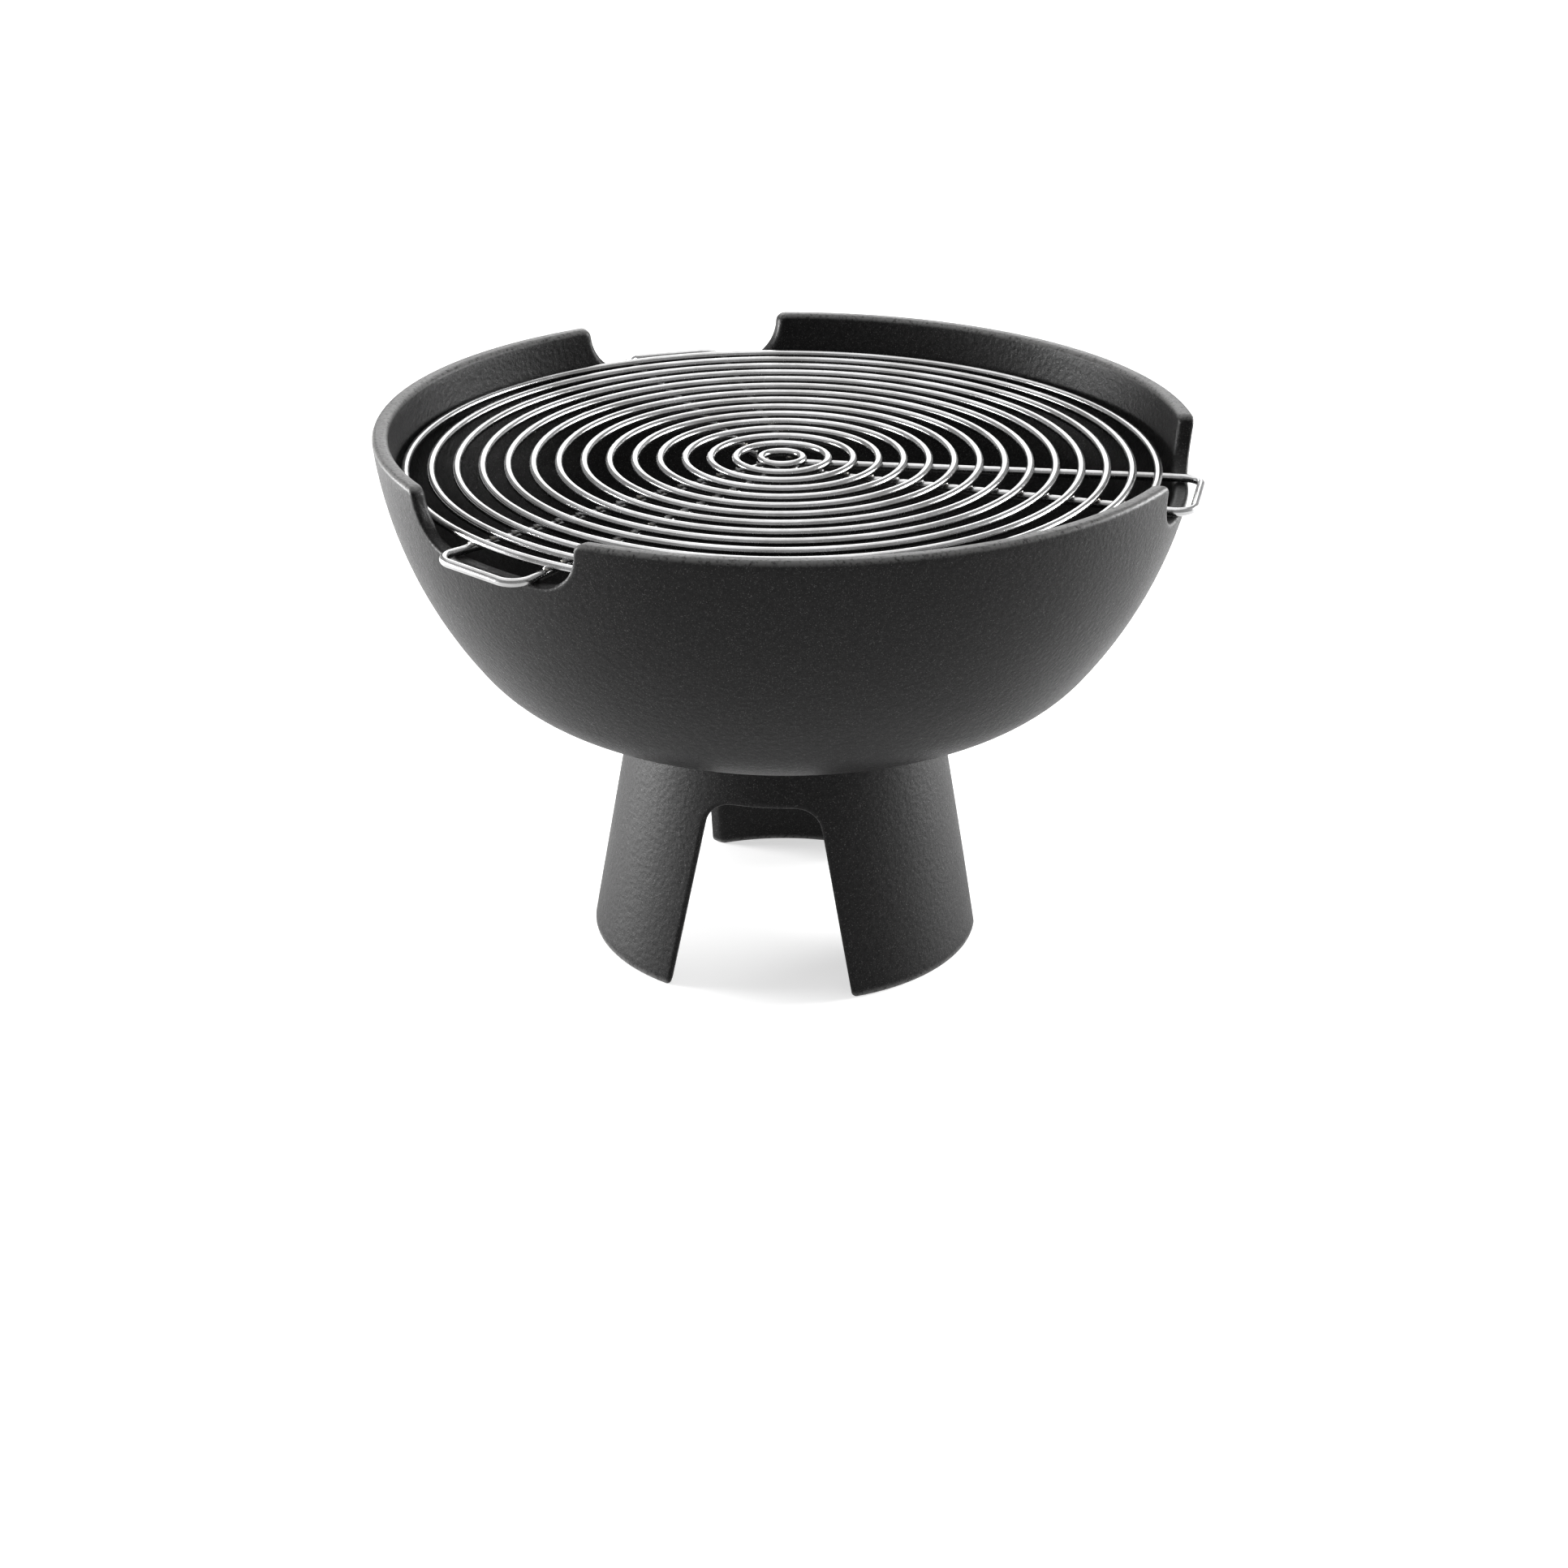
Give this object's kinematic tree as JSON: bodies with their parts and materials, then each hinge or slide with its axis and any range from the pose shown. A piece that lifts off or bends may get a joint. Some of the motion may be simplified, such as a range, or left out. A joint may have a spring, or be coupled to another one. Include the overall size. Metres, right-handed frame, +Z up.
{
  "type": "charcoal grill",
  "caption": "Table-top cast-iron charcoal grill: round black bowl with notched rim on a hollow arched foot, with a lift-off round grate of concentric steel wire rings",
  "frame": {"origin": "on the ground, under the axis of the bowl and foot", "axes": "+Z up; -Y towards the front, where one arch of the foot faces; +X to the right as seen from the front"},
  "size_m": [0.3913, 0.3901, 0.261],
  "materials": {
    "cast_iron": "sand-cast, seasoned black, satin with fine sparkle",
    "grate_iron": "sand-cast, dry grey-black",
    "wire_steel": "polished stainless wire with small bright welds",
    "zinc_steel": "zinc plated"
  },
  "bodies": {
    "base": {"bowl": "cast_iron", "foot": "cast_iron", "foot_bolts": "zinc_steel", "foot_washers": "zinc_steel", "foot_nuts": "zinc_steel"},
    "coal_grate": {"charcoal_grate": "grate_iron"},
    "cooking_grate": {"handle_wire_back": "wire_steel", "handle_wire_left": "wire_steel", "handle_wire_right": "wire_steel", "grate_ring_01": "wire_steel", "grate_ring_02": "wire_steel", "grate_ring_03": "wire_steel", "grate_ring_04": "wire_steel", "grate_ring_05": "wire_steel", "grate_ring_06": "wire_steel", "grate_ring_07": "wire_steel", "grate_ring_08": "wire_steel", "grate_ring_09": "wire_steel", "grate_ring_10": "wire_steel", "grate_ring_11": "wire_steel", "grate_ring_12": "wire_steel", "grate_ring_13": "wire_steel", "grate_ring_14": "wire_steel", "grate_ring_15": "wire_steel"}
  },
  "joints": [
    {"name": "charcoal_grate_lift", "type": "slide", "parent": "base", "child": "coal_grate", "axis": [0, 0, 1], "range_m": [0, 0.085]},
    {"name": "cooking_grate_lift", "type": "slide", "parent": "base", "child": "cooking_grate", "axis": [0, 0, 1], "range_m": [0, 0.26]}
  ]
}
